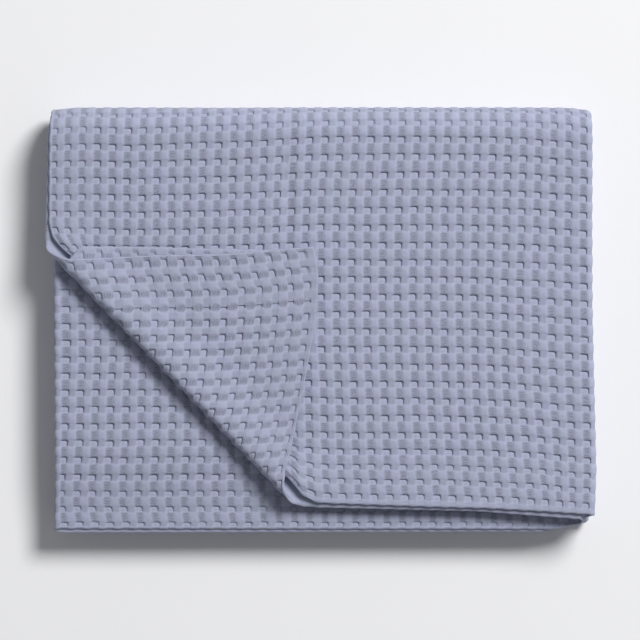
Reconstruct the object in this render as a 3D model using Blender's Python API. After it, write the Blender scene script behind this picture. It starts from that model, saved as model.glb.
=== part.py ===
"""Waffle weave cotton blanket: one hemmed length of cloth, folded in half twice across and twice along,
with the near left corner of its two upper plies turned back.

The cloth starts as a flat slab, with u across it, s along it and w through it. The side folds bend u,
which makes a strip of four plies, called A, B, C and D from the top. The end folds then bend that strip
along s into four sections, so the stack is sixteen plies high. Last, the corner of A and B in the top
section is rolled back. Metres, +Z up, with the origin under the middle of the stack.
"""

import math

import bmesh
import bpy
import numpy as np
from mathutils import Vector

# Driving dimensions
PITCH = 0.0028  # from the middle of one ply to the middle of the next
THICKNESS = 0.0020  # of the cloth
RIGHT_OUTER_X = 0.2073  # axis of the fold that joins A and D
RIGHT_INNER_X = 0.2020  # axis of the fold that joins C and B
LEFT_FOLD_X = -0.2063  # axis of the fold that joins D and C
FREE_EDGE_X = -0.2135  # hemmed left edges of A and B
NEAR_EDGE_Y = -0.1663  # near edge of D, the ply that reaches furthest
BACK_FOLD_Y = 0.1443  # axis of the two folds at the back
NEAR_FOLD_Y = -0.1490  # axis of the fold at the front
INSIDE_EDGE_Y = -0.1560  # near edge of the section that ends inside the stack

# Straight runs of cloth: where each starts and ends, and its level in plies. A half round fold joins
# each run to the next one.
SIDE_RUNS = (
    # ply, start x, end x, level over the middle of the strip
    ("A", FREE_EDGE_X, RIGHT_OUTER_X, 1.5),
    ("D", RIGHT_OUTER_X, LEFT_FOLD_X, -1.5),
    ("C", LEFT_FOLD_X, RIGHT_INNER_X, -0.5),
    ("B", RIGHT_INNER_X, FREE_EDGE_X, 0.5),
)
END_RUNS = (
    # section, start y, end y, level over the floor
    ("top", NEAR_EDGE_Y, BACK_FOLD_Y, 14.0),
    ("bottom", BACK_FOLD_Y, NEAR_FOLD_Y, 2.0),
    ("third", NEAR_FOLD_Y, BACK_FOLD_Y, 6.0),
    ("second", BACK_FOLD_Y, INSIDE_EDGE_Y, 10.0),
)

# How many straight lines of the mesh cross each run and each fold
SIDE_CUTS = {"run": 6, "folds": (6, 4, 4)}
END_CUTS = {"run": 5, "folds": (10, 6, 6)}

# How far each ply's two ends stand back from the full length of the strip
SETBACKS = (
    # ply, x, top section's end, second section's end
    ("A", -0.2135, 0.0094, 0.0040),
    ("A", -0.0080, 0.0230, 0.0010),
    ("A", 0.1236, 0.0195, 0.0000),
    ("A", 0.2073, 0.0148, 0.0030),
    ("D", 0.2047, 0.0117, 0.0040),
    ("D", 0.1767, 0.0008, 0.0060),
    ("D", -0.2063, 0.0000, 0.0075),
    ("C", -0.2063, 0.0031, 0.0080),
    ("C", 0.1830, 0.0027, 0.0055),
    ("C", 0.2016, 0.0070, 0.0045),
    ("B", 0.2020, 0.0109, 0.0050),
    ("B", 0.1236, 0.0172, 0.0030),
    ("B", -0.0080, 0.0203, 0.0040),
    ("B", -0.2135, 0.0100, 0.0060),
)

# How far the sides of the strip stray from straight, at stations along it
SIDE_STRAY = (
    # section, y, left folds, right folds, free edge of A, free edge of B
    ("top", -0.1663, -0.0002, 0.0002, -0.0068, -0.0122),
    ("top", -0.1170, 0.0006, 0.0020, -0.0050, -0.0076),
    ("top", 0.0000, 0.0000, -0.0010, -0.0032, -0.0028),
    ("top", 0.0700, 0.0000, -0.0012, -0.0017, -0.0010),
    ("top", 0.1443, 0.0006, -0.0010, 0.0005, 0.0012),
    ("bottom", 0.1443, 0.0020, -0.0020, 0.0030, 0.0044),
    ("bottom", 0.0000, 0.0011, -0.0012, 0.0022, 0.0040),
    ("bottom", -0.1490, 0.0026, -0.0022, 0.0036, 0.0028),
    ("third", -0.1490, 0.0031, -0.0028, 0.0050, 0.0036),
    ("third", 0.0200, 0.0018, -0.0010, 0.0044, 0.0060),
    ("third", 0.1443, 0.0024, -0.0026, 0.0034, 0.0052),
    ("second", 0.1443, 0.0022, -0.0024, 0.0040, 0.0030),
    ("second", 0.0300, 0.0006, -0.0014, 0.0056, 0.0038),
    ("second", -0.1500, 0.0020, -0.0008, 0.0046, 0.0058),
)

FREE_EDGE_COLUMN = {"A": 2, "B": 3}  # of that table, after its names

# Turned corner: A and B roll over one axis, which crosses the stack from its left to its near side
ROLL_RADIUS = 0.0035  # of A, inside B
ROLL_SIDE_POINT = Vector((-0.2087, 0.0482))  # where the outside of the roll crosses the left side
ROLL_NEAR_POINT = Vector((-0.0261, -0.1406))  # where it crosses the near side
ROLL_CUTS = 6
SETTLE_LENGTH = 0.036  # over which the turned corner comes down to rest on A
SETTLE_CUTS = 3

STACK_MIDDLE_X = -0.00067  # halfway between the outermost points of the folds above

# The stack is a little lower along its left, right and near sides than in its middle
EDGE_DROP = 0.035
SIDE_DROP_FROM, SIDE_DROP_LENGTH = 0.125, 0.090
NEAR_DROP_FROM, NEAR_DROP_LENGTH = 0.085, 0.080

# The back corners of the stack are rounded off
CORNER_START_X, CORNER_LENGTH, CORNER_DEPTH = 0.188, 0.024, 0.0016
CORNER_FROM_Y = 0.100

CLOTH_COLOUR = (0.36, 0.38, 0.50, 1.0)
CLOTH_ROUGHNESS = 0.95

UPPER_PLY_LEVEL = (14.0 + 1.5) * PITCH  # middle of A in the top section
SECOND_PLY_LEVEL = (14.0 + 0.5) * PITCH  # middle of B there
STRIP_MIDDLE_LEVEL = 14.0 * PITCH
OUTER_PLY_OFFSET = 1.5 * PITCH  # of A and D from the middle of the strip


def smooth(value):
    """0 below 0, 1 above 1, with a soft step between."""
    t = min(max(value, 0.0), 1.0)
    return t * t * (3.0 - 2.0 * t)


def lengths(runs, gauge):
    """The length of each run and of the fold after it, in turn. Folds are measured at radius + gauge."""
    found = []
    for index, (_, start, end, level) in enumerate(runs):
        found.append(abs(end - start))
        if index + 1 < len(runs):
            radius = abs(level - runs[index + 1][3]) * PITCH / 2
            found.append(math.pi * (radius + gauge))
    return found


def starts(runs, gauge):
    """Where each run and fold begins, as a length along the cloth, and where the last one ends."""
    return np.concatenate([[0.0], np.cumsum(lengths(runs, gauge))])


def cut_lines(runs, gauge, cuts):
    """The lengths along the cloth at which the mesh has a line."""
    marks = starts(runs, gauge)
    found = [0.0]
    for piece in range(len(marks) - 1):
        count = cuts["run"] if piece % 2 == 0 else cuts["folds"][piece // 2]
        found.extend(np.linspace(marks[piece], marks[piece + 1], count + 1)[1:])
    return found


def length_at(runs, gauge, name, place):
    """The length along the cloth of a place on a named run."""
    marks = starts(runs, gauge)
    index = [run[0] for run in runs].index(name)
    start, end = runs[index][1:3]
    return marks[2 * index] + (place - start) * (1 if end > start else -1)


def follow(runs, gauge, length, offset):
    """(run, place, level) of a point at this length along the cloth and this offset from its middle."""
    marks = starts(runs, gauge)
    piece = int(np.clip(np.searchsorted(marks, length, side="right") - 1, 0, len(marks) - 2))
    name, start, end, steps = runs[piece // 2]
    way = 1 if end > start else -1
    face = 1 if (piece // 2) % 2 == 0 else -1
    level = steps * PITCH
    if piece % 2 == 0:
        return name, start + way * (length - marks[piece]), level + face * offset
    centre = (level + runs[piece // 2 + 1][3] * PITCH) / 2
    side = 1 if level > centre else -1
    radius = abs(level - centre)
    angle = (length - marks[piece]) / (radius + gauge)
    reach = radius + face * side * offset
    return "fold", end + way * reach * math.sin(angle), centre + side * reach * math.cos(angle)


def setback_at(u, column):
    """How far one end of the cloth stands back at u: column 0 is the end on top, 1 the one inside."""
    marks = [length_at(SIDE_RUNS, 0.0, row[0], row[1]) for row in SETBACKS]
    return float(np.interp(u, marks, [row[2 + column] for row in SETBACKS]))


def stray_at(s, column):
    """How far one side of the strip strays at s."""
    marks = [length_at(END_RUNS, OUTER_PLY_OFFSET, row[0], row[1]) for row in SIDE_STRAY]
    return float(np.interp(s, marks, [row[2 + column] for row in SIDE_STRAY]))


def folded(u, s, w):
    """The point of the folded stack, before its corner is turned back."""
    ply, x, across = follow(SIDE_RUNS, 0.0, u, w)
    _, y, z = follow(END_RUNS, OUTER_PLY_OFFSET, s, across)
    share = min(max((x - LEFT_FOLD_X) / (RIGHT_OUTER_X - LEFT_FOLD_X), 0.0), 1.0)
    x += stray_at(s, 0) * (1 - share) + stray_at(s, 1) * share
    if ply in FREE_EDGE_COLUMN:
        x += stray_at(s, FREE_EDGE_COLUMN[ply]) * (1 - share)
    corner = smooth((abs(x) - CORNER_START_X) / CORNER_LENGTH)
    y -= CORNER_DEPTH * corner * smooth((y - CORNER_FROM_Y) / (BACK_FOLD_Y - CORNER_FROM_Y))
    return Vector((x, y, z))


def roll_frame():
    """A point on the roll's axis and the direction, square to it, in which the corner lay."""
    along = (ROLL_NEAR_POINT - ROLL_SIDE_POINT).normalized()
    outward = Vector((along.y, -along.x))
    outside = ROLL_RADIUS + PITCH + THICKNESS / 2
    return ROLL_SIDE_POINT - outward * outside, outward


def roll_distance(point):
    """How far a point of the flat corner lies beyond the roll's axis."""
    axis_point, outward = roll_frame()
    return (Vector(point[:2]) - axis_point).dot(outward)


def rolled(point):
    """The point of ply A or B after the corner is turned back."""
    is_upper = point.z > (UPPER_PLY_LEVEL + SECOND_PLY_LEVEL) / 2
    middle = UPPER_PLY_LEVEL if is_upper else SECOND_PLY_LEVEL
    radius = ROLL_RADIUS if is_upper else ROLL_RADIUS + PITCH
    axis_level = UPPER_PLY_LEVEL + ROLL_RADIUS
    distance = roll_distance(point)
    if distance <= 0:
        return point.copy()
    reach = radius - (point.z - middle)
    angle = min(distance / radius, math.pi)
    back = max(distance - math.pi * radius, 0.0)
    height = axis_level - reach * math.cos(angle)
    height -= (2 * ROLL_RADIUS - PITCH) * smooth(back / SETTLE_LENGTH)
    outward = roll_frame()[1]
    flat = Vector(point[:2]) + outward * (reach * math.sin(angle) - back - distance)
    return Vector((flat.x, flat.y, height))


def settled(point):
    """The point lowered onto the floor and centred, the stack pressed a little along three sides."""
    side = smooth((abs(point.x) - SIDE_DROP_FROM) / SIDE_DROP_LENGTH)
    near = smooth((-point.y - NEAR_DROP_FROM) / NEAR_DROP_LENGTH)
    height = point.z - (PITCH - THICKNESS) / 2
    height *= 1 - EDGE_DROP * max(side, near)
    return Vector((point.x - STACK_MIDDLE_X, point.y, height))


def flat_slab():
    """The cloth laid out flat: a grid with a line at each cut, given its thickness."""
    across = cut_lines(SIDE_RUNS, 0.0, SIDE_CUTS)
    along = cut_lines(END_RUNS, OUTER_PLY_OFFSET, END_CUTS)
    bm = bmesh.new()
    columns, rows = len(across) - 1, len(along) - 1
    bmesh.ops.create_grid(bm, x_segments=columns, y_segments=rows, size=0.5)
    for vert in bm.verts:
        column = round((vert.co.x + 0.5) * columns)
        row = round((vert.co.y + 0.5) * rows)
        vert.co = (across[column], along[row], THICKNESS / 2)
        if row == 0:
            vert.co.y += setback_at(vert.co.x, 0)
        if row == rows:
            vert.co.y -= setback_at(vert.co.x, 1)
    bmesh.ops.solidify(bm, geom=bm.faces[:], thickness=THICKNESS)
    return bm


def cut_corner(bm):
    """Lines across plies A and B of the top section, where the corner rolls and settles."""
    axis_point, outward = roll_frame()
    for middle, radius in (
        (UPPER_PLY_LEVEL, ROLL_RADIUS),
        (SECOND_PLY_LEVEL, ROLL_RADIUS + PITCH),
    ):
        turns = [math.pi * radius * cut / ROLL_CUTS for cut in range(ROLL_CUTS + 1)]
        rests = [SETTLE_LENGTH * (cut + 1) / SETTLE_CUTS for cut in range(SETTLE_CUTS)]
        for distance in turns + [turns[-1] + rest for rest in rests]:
            faces = [
                face
                for face in bm.faces
                if all(abs(vert.co.z - middle) < PITCH / 2 for vert in face.verts)
            ]
            edges = {edge for face in faces for edge in face.edges}
            verts = {vert for face in faces for vert in face.verts}
            centre = axis_point + outward * distance
            bmesh.ops.bisect_plane(
                bm,
                geom=faces + list(edges) + list(verts),
                dist=1e-6,
                plane_co=(centre.x, centre.y, 0.0),
                plane_no=(outward.x, outward.y, 0.0),
            )


def cloth_material():
    material = bpy.data.materials.new("cotton")
    material.use_nodes = True
    shader = material.node_tree.nodes["Principled BSDF"]
    shader.inputs["Base Color"].default_value = CLOTH_COLOUR
    shader.inputs["Roughness"].default_value = CLOTH_ROUGHNESS
    shader.inputs["Metallic"].default_value = 0.0
    return material


def make_blanket():
    bm = flat_slab()
    for vert in bm.verts:
        vert.co = folded(*vert.co)
    cut_corner(bm)
    for vert in bm.verts:
        if vert.co.z > STRIP_MIDDLE_LEVEL:
            vert.co = rolled(vert.co)
        vert.co = settled(vert.co)
    bmesh.ops.recalc_face_normals(bm, faces=bm.faces[:])
    mesh = bpy.data.meshes.new("blanket")
    bm.to_mesh(mesh)
    bm.free()
    mesh.shade_smooth()
    mesh.set_sharp_from_angle(angle=math.radians(50))
    mesh.materials.append(cloth_material())
    blanket = bpy.data.objects.new("blanket", mesh)
    bpy.context.scene.collection.objects.link(blanket)
    return blanket


def main():
    for obj in list(bpy.data.objects):
        bpy.data.objects.remove(obj, do_unlink=True)
    make_blanket()


main()
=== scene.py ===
"""Waffle weave cotton blanket, folded into a stack with one corner turned back: its looks and its stage.

The cloth is laid out flat as waffle cells, counted in columns across (u) and rows along (s). Each cell has
a pocket in its middle. The cells are then folded as the solid is: into four plies, A, B, C and D from the
top, and those into four sections. Metres, +Z up.
"""

import math

import bpy
import numpy as np
from bpy.props import FloatProperty, FloatVectorProperty, PointerProperty
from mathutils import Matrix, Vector


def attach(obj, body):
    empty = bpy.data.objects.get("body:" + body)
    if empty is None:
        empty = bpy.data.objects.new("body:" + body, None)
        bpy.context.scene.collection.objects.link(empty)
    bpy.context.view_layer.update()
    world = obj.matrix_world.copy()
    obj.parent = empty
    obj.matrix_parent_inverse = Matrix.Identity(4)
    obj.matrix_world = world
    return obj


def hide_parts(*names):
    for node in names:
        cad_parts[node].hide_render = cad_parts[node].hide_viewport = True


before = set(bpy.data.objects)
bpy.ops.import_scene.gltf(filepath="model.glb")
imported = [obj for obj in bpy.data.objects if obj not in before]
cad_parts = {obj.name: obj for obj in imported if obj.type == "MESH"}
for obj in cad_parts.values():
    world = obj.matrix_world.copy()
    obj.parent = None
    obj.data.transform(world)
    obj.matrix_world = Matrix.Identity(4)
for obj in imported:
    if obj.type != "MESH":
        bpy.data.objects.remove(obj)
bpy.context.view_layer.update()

bl_info = {
    "name": "Waffle weave cotton blanket",
    "version": (1, 0, 0),
    "blender": (4, 2, 0),
    "location": "3D View > Sidebar > Blanket",
    "description": "Makes a folded waffle weave blanket, piece by piece, and the stage it is seen on",
    "category": "Add Mesh",
}

# The folded stack, as in the solid
PITCH = 0.0028  # from the middle of one ply to the middle of the next
THICKNESS = 0.002  # of the solid's cloth
RIGHT_OUTER_X = 0.2073  # axis of the fold that joins A and D
RIGHT_INNER_X = 0.202  # axis of the fold that joins C and B
LEFT_FOLD_X = -0.2063  # axis of the fold that joins D and C
FREE_EDGE_X = -0.2135  # hemmed left edges of A and B
NEAR_EDGE_Y = -0.1663  # near edge of D, the ply that reaches furthest
BACK_FOLD_Y = 0.1443  # axis of the two folds at the back
NEAR_FOLD_Y = -0.149  # axis of the fold at the front
INSIDE_EDGE_Y = -0.156  # near edge of the section that ends inside the stack
STACK_MIDDLE_X = -0.00067
FLOOR_GAP = 0.00005  # under the lowest ply

SIDE_RUNS = (
    # ply, start x, end x, level in plies over the middle of the strip
    ("A", FREE_EDGE_X, RIGHT_OUTER_X, 1.5),
    ("D", RIGHT_OUTER_X, LEFT_FOLD_X, -1.5),
    ("C", LEFT_FOLD_X, RIGHT_INNER_X, -0.5),
    ("B", RIGHT_INNER_X, FREE_EDGE_X, 0.5),
)
END_RUNS = (
    # section, start y, end y, level in plies over the floor
    ("top", NEAR_EDGE_Y, BACK_FOLD_Y, 14.0),
    ("bottom", BACK_FOLD_Y, NEAR_FOLD_Y, 2.0),
    ("third", NEAR_FOLD_Y, BACK_FOLD_Y, 6.0),
    ("second", BACK_FOLD_Y, INSIDE_EDGE_Y, 10.0),
)
OUTER_PLY_OFFSET = 1.5 * PITCH  # of A and D from the middle of the strip

# Runs and the folds between them, numbered in turn along SIDE_RUNS and END_RUNS
PLY_A, FOLD_AD, PLY_D, FOLD_DC, PLY_C, FOLD_CB, PLY_B = range(7)
TOP, BACK_FOLD, BOTTOM, NEAR_FOLD, THIRD, INNER_FOLD, SECOND = range(7)

# Cells of the cloth, and how far along it their pockets lie
COLUMNS, ROWS = 142, 97
COLUMN_MARKS = (
    # column, u
    (-0.5, 0.0),
    (0, 0.0037),
    (1, 0.0141),
    (2, 0.0257),
    (3, 0.0376),
    (35, 0.4182),
    (72, 0.8576),
    (125, 1.4914),
    (137, 1.6268),
    (138, 1.6386),
    (139, 1.6503),
    (141, 1.6735),
    (141.5, 1.6802),
)
ROW_MARKS = (
    # row, distance from the near edge
    (-0.5, 0.0),
    (0, 0.0059),
    (1, 0.0183),
    (2, 0.0307),
    (3, 0.0437),
    (22, 0.301),
    (93, 1.2663),
    (94, 1.2793),
    (95, 1.2917),
    (96, 1.3041),
    (96.5, 1.31),
)

# How far the rows stand back from the near edge of the strip, at stations along each ply
SHIFT_ROWS = (-0.5, 0, 4, 9, 14, 22)
INNER_ROW, INNER_SHARE = 78, 0.75  # a row inside the stack, and its share of the far end's shift
ROW_SHIFTS = (
    # ply, x, edge, first row, row 4, row 9, row 14, row 22
    ("A", -0.2135, 0.0112, 0.0112, 0.0124, 0.0149, 0.0171, 0.0137),
    ("A", -0.149, 0.0104, 0.011, 0.015, 0.0153, 0.0154, 0.0125),
    ("A", -0.133, 0.017, 0.016, 0.016, 0.0156, 0.0152, 0.013),
    ("A", -0.102, 0.023, 0.021, 0.0176, 0.0161, 0.0151, 0.0139),
    ("A", -0.07, 0.028, 0.0255, 0.0186, 0.0169, 0.0155, 0.0149),
    ("A", -0.05, 0.033, 0.03, 0.0196, 0.0175, 0.0163, 0.0158),
    ("A", -0.028, 0.045, 0.0415, 0.022, 0.0182, 0.0174, 0.017),
    ("A", -0.0245, 0.0408, 0.038, 0.021, 0.0183, 0.0175, 0.0172),
    ("A", -0.017, 0.0304, 0.0292, 0.0196, 0.0182, 0.0178, 0.0177),
    ("A", -0.0072, 0.0244, 0.0248, 0.0197, 0.0186, 0.0183, 0.0185),
    ("A", 0.0034, 0.0234, 0.0236, 0.0189, 0.0184, 0.0184, 0.0189),
    ("A", 0.085, 0.0205, 0.0219, 0.0187, 0.0181, 0.0179, 0.0192),
    ("A", 0.124, 0.0195, 0.0208, 0.018, 0.0175, 0.0175, 0.0189),
    ("A", 0.163, 0.0173, 0.019, 0.0161, 0.0154, 0.0156, 0.0176),
    ("A", 0.2073, 0.0148, 0.0158, 0.0123, 0.0121, 0.0128, 0.0144),
    ("D", 0.2047, 0.0117, 0.0117, 0.013, 0.0135, 0.014, 0.015),
    ("D", 0.1767, 0.0008, 0.0008, 0.003, 0.004, 0.005, 0.006),
    ("D", -0.2063, 0.0, -0.0012, -0.001, -0.0015, -0.002, -0.002),
    ("C", -0.2063, 0.0031, 0.0002, -0.0004, -0.0028, -0.0053, -0.003),
    ("C", 0.183, 0.0027, 0.0002, 0.0004, -0.0013, -0.003, 0.0),
    ("C", 0.2016, 0.007, 0.004, 0.003, 0.0025, 0.002, 0.002),
    ("B", 0.202, 0.0109, 0.0109, 0.0124, 0.0112, 0.0099, 0.008),
    ("B", 0.1236, 0.0172, 0.0172, 0.0187, 0.0175, 0.0162, 0.01),
    ("B", -0.001, 0.0203, 0.0203, 0.0208, 0.0203, 0.02, 0.01),
    ("B", -0.02, 0.0224, 0.0205, 0.0203, 0.02, 0.02, 0.01),
    ("B", -0.033, 0.0254, 0.0225, 0.02, 0.0192, 0.0197, 0.01),
    ("B", -0.045, 0.0252, 0.0232, 0.0198, 0.0186, 0.019, 0.01),
    ("B", -0.057, 0.0222, 0.0216, 0.0189, 0.0176, 0.018, 0.0101),
    ("B", -0.073, 0.0188, 0.0176, 0.017, 0.0156, 0.0165, 0.0102),
    ("B", -0.095, 0.0152, 0.0138, 0.0128, 0.0114, 0.013, 0.0103),
    ("B", -0.114, 0.0116, 0.0109, 0.0096, 0.0084, 0.0106, 0.0104),
    ("B", -0.139, 0.0078, 0.009, 0.0073, 0.0062, 0.009, 0.0106),
    ("B", -0.162, 0.005, 0.0068, 0.0064, 0.005, 0.0085, 0.0107),
    ("B", -0.174, 0.0046, 0.0066, 0.006, 0.005, 0.0088, 0.0108),
    ("B", -0.185, 0.0042, 0.0073, 0.0062, 0.0069, 0.011, 0.0108),
    ("B", -0.1963, 0.0048, 0.0097, 0.0102, 0.0101, 0.015, 0.0109),
    ("B", -0.2076, 0.007, 0.0124, 0.0132, 0.0126, 0.019, 0.011),
    ("B", -0.2135, 0.009, 0.014, 0.0142, 0.0132, 0.02, 0.011),
)
FAR_SETBACKS = (
    # ply, x, how far the end inside the stack stands back
    ("A", -0.2135, 0.004),
    ("A", -0.008, 0.001),
    ("A", 0.1236, 0.0),
    ("A", 0.2073, 0.003),
    ("D", 0.2047, 0.004),
    ("D", 0.1767, 0.006),
    ("D", -0.2063, 0.0075),
    ("C", -0.2063, 0.008),
    ("C", 0.183, 0.0055),
    ("C", 0.2016, 0.0045),
    ("B", 0.202, 0.005),
    ("B", 0.1236, 0.003),
    ("B", -0.008, 0.004),
    ("B", -0.2135, 0.006),
)

# How far the sides of the strip stray from straight, at stations along it
SIDE_STRAY = (
    # section, y, left folds, right folds, free edge of A, free edge of B
    ("top", -0.1663, -0.0002, 0.0002, -0.0068, -0.015),
    ("top", -0.139, 0.0003, 0.0012, -0.0059, -0.0126),
    ("top", -0.117, 0.0006, 0.002, -0.005, -0.01),
    ("top", -0.092, 0.0005, 0.0014, -0.0046, -0.007),
    ("top", -0.03, 0.0001, -0.0002, -0.0037, -0.0034),
    ("top", 0.009, 0.0, -0.001, -0.003, 0.0002),
    ("top", 0.03, 0.0, -0.0011, -0.002, 0.0018),
    ("top", 0.048, 0.0, -0.0011, -0.0004, -0.002),
    ("top", 0.075, 0.0, -0.0012, 0.001, -0.0016),
    ("top", 0.11, 0.0001, -0.0011, 0.001, -0.0006),
    ("top", 0.1443, 0.0, -0.001, 0.0014, 0.0),
    ("bottom", 0.1443, 0.002, -0.002, 0.003, 0.0044),
    ("bottom", 0.0, 0.0011, -0.0012, 0.0022, 0.004),
    ("bottom", -0.149, 0.0026, -0.0022, 0.0036, 0.0028),
    ("third", -0.149, 0.0031, -0.0028, 0.005, 0.0036),
    ("third", 0.02, 0.0018, -0.001, 0.0044, 0.006),
    ("third", 0.1443, 0.0024, -0.0026, 0.0034, 0.0052),
    ("second", 0.1443, 0.0022, -0.0024, 0.004, 0.003),
    ("second", 0.03, 0.0006, -0.0014, 0.0056, 0.0038),
    ("second", -0.15, 0.002, -0.0008, 0.0046, 0.0058),
)

# How far the columns of the uppermost ply stray, in its middle and towards its right side
COLUMN_STRAY_X = (0.02, 0.163)
COLUMN_STRAY_TO, COLUMN_STRAY_FADE = 0.16, 0.03  # it dies out past this y, over this length
COLUMN_STRAY = (
    # y, in the middle, towards the right
    (-0.1663, 0.0032, 0.007),
    (-0.14, 0.0022, 0.0058),
    (-0.1172, 0.0004, 0.0034),
    (-0.0704, -0.0009, -0.0007),
    (-0.0236, -0.0026, -0.0027),
    (0.023, -0.0032, -0.0032),
    (0.06, -0.0033, -0.0022),
    (0.0934, -0.0028, -0.0019),
    (0.1402, -0.0003, 0.0001),
    (0.165, 0.0002, 0.0002),
)

# How far the bare columns of ply C beside the turned corner stray, less so to the right and at the fold
BARE_TO_X, BARE_FADE, BARE_FOLD_FADE = 0.02, 0.12, 0.008
BARE_STRAY = (
    # y, shift
    (-0.158, -0.0002),
    (-0.1443, -0.0028),
    (-0.125, -0.0032),
    (-0.0938, -0.0011),
    (-0.0626, -0.0001),
    (-0.0314, 0.0016),
    (0.0, 0.0016),
)

# Dent in the free edge of A beside the turned corner, which dies out across the hem
EDGE_DENT_WIDTH = 0.042
EDGE_DENT = (
    # y, depth
    (0.03, 0.0),
    (0.037, 0.008),
    (0.043, 0.0165),
    (0.0482, 0.0196),
    (0.0499, 0.0182),
    (0.0519, 0.0155),
    (0.0555, 0.0112),
    (0.0593, 0.0074),
    (0.065, 0.0034),
    (0.07, 0.0012),
    (0.078, 0.0),
)

# Turned corner: A and B roll over one axis, which crosses the stack from its left to its near side
ROLL_RADIUS = 0.0035  # of A, inside B
ROLL_SIDE_POINT = Vector((-0.2087, 0.0482))
ROLL_NEAR_POINT = Vector((-0.0261, -0.1406))
SETTLE_LENGTH = 0.036  # over which the turned corner comes down to lie on A
UPPER_PLY_LEVEL = (14.0 + 1.5) * PITCH
SECOND_PLY_LEVEL = (14.0 + 0.5) * PITCH
STRIP_MIDDLE_LEVEL = 14.0 * PITCH

# At the front the doubled hems hold A and B up, and C sags
FRONT_LIFT_A, FRONT_LIFT_B, FRONT_SAG = 0.003, 0.0022, 0.006
FRONT_FROM, FRONT_LENGTH = 0.095, 0.065

# Beside both ends of the roll A stands clear of B, its edge bent down
EDGE_LIFTS = (
    # x, y, reach, lift, how far the edge bends down
    (-0.022, -0.127, 0.015, 0.005, 0.002),
    (-0.202, 0.054, 0.013, 0.0036, 0.002),
)
EDGE_BEND_CELLS = 0.9

# The stack is lower along its left, right and near sides, and its back corners are rounded off
EDGE_DROP = 0.035
SIDE_DROP_FROM, SIDE_DROP_LENGTH = 0.125, 0.09
NEAR_DROP_FROM, NEAR_DROP_LENGTH = 0.085, 0.08
CORNER_START_X, CORNER_LENGTH, CORNER_DEPTH = 0.188, 0.024, 0.0016
CORNER_FROM_Y = 0.1
UNEVEN_HEIGHT, UNEVEN_PACE = 0.007, 70

# Soft creases: troughs and ridges pressed into the stack
CREASES = (
    # x and y of one end, x and y of the other, half width, depth as a share of the height
    (-0.0262, 0.175, -0.0275, 0.045, 0.005, 0.026),
    (-0.019, 0.175, -0.0205, 0.06, 0.006, -0.008),
)
CREASE_SWAY, CREASE_PACE, CREASE_FADE = 0.0012, 90, 0.03

# The cell, with its middle at 0 and its borders at -0.5 and 0.5
POCKET_HALF_WIDTH = 0.27
POCKET_HALF_LENGTH = 0.2
WALL_FROM, WALL_TO = 0.91, 1.09  # inner and outer line of the pocket's wall, as shares of those
WALL_ACROSS = (POCKET_HALF_WIDTH * WALL_FROM, POCKET_HALF_WIDTH * WALL_TO)
WALL_ALONG = (POCKET_HALF_LENGTH * WALL_FROM, POCKET_HALF_LENGTH * WALL_TO)
BAND_FROM, BAND_LENGTH = 0.16, 0.19  # where the ladder rises to the band beside it
COLUMN_LINES = (-0.5, -0.4, -WALL_ACROSS[1], -WALL_ACROSS[0], -BAND_FROM, BAND_FROM, *WALL_ACROSS, 0.4)
ROW_LINES = (-0.5, -0.37, -0.285, -WALL_ALONG[1], -WALL_ALONG[0], -0.11, 0.11, *WALL_ALONG, 0.285, 0.37)
PLAIN, MEDIUM, FINE = range(3)
COLUMN_PICKS = ((0,), (0, 2, 3, 6, 7), tuple(range(9)))  # lines used at each of those levels
ROW_PICKS = ((0,), (0, 3, 4, 7, 8), tuple(range(11)))
PILLOW_RISES = (
    # share of the height, where it starts along the cell, over what length
    (0.7, 0.182, 0.14),
    (0.3, 0.2, 0.3),
)
POCKET_SQUARENESS, OUTLINE_FADE = 3.8, 0.6  # power of its outline, and how far that reaches
DIP_FROM, DIP_LENGTH = 0.5, 0.4  # where a pocket's floor drops towards its walls
DEPTH_RANGE, DRIFT_RANGE = (0.82, 1.12), (-0.03, 0.03)  # of single pockets

# The hem, where the cloth is doubled: flatter, with shallower and rounder pockets
HEM_CELLS, HEM_FADE = 2.9, 0.5
HEM_LADDER, HEM_BAND, HEM_PILLOW = 0.00015, 0.0001, -0.00015
HEM_SHALLOWNESS, HEM_ROUNDNESS = 0.25, 1.2
EDGE_FRONT, EDGE_BACK, EDGE_WAVE, EDGE_SCALLOP = 0.75, 0.95, 0.00012, 0.0003
PINCHED_COLUMN, PINCHED_ROWS, PINCH = 138, 30, 0.35  # the hem's stitches run over these pockets
STRETCHED_COLUMN, STRETCHED_ROWS, STRETCH = 16, 5, 0.55  # of A, at its bent near edge
FLIPPED_FROM = 107  # first column of ply B, whose pockets dip deepest at their near side
BACK_HEIGHT = -0.0013  # of the cloth's back
TURNED_DEPTH, TURNED_SHIFT = 0.0012, 0.34  # of pockets on the back of A's hem where it is turned over
TURNED_SHALLOWNESS = 0.9  # of those on its face there

FRONT, BACK = 0, 4  # layers of the cloth; those between go round its hemmed edge
TIGHT_REACH = 0.00015  # the least radius that a face has inside a fold

# Which cells are made finely: lines at the folds, and distances from the roll's axis and places
SIDE_FOLD_COLUMNS = (35, 36, 71, 72, 106, 107)
END_FOLD_ROWS = (21, 27, 47, 51)
ROLL_FROM, ROLL_TO, BARE_FROM = -0.01, 0.034, -0.004
BARE_NEAR_Y, OVER_BACK_Y, OVER_BACK_S = -0.125, 0.158, 0.34

PIECES = (
    # name, first and last column, first and last row, what it rests on
    ("blanket_top_ply_left", 0, 19, 0, 28, "blanket_top_section"),
    ("blanket_top_ply_right", 20, 38, 0, 28, "blanket_top_section"),
    ("blanket_top_section", 39, 141, 0, 28, "blanket_inner_sections"),
    ("blanket_inner_sections", 0, 141, 53, 96, "blanket_bottom_section"),
    ("blanket_bottom_section", 0, 141, 29, 52, "floor"),
)

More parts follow.
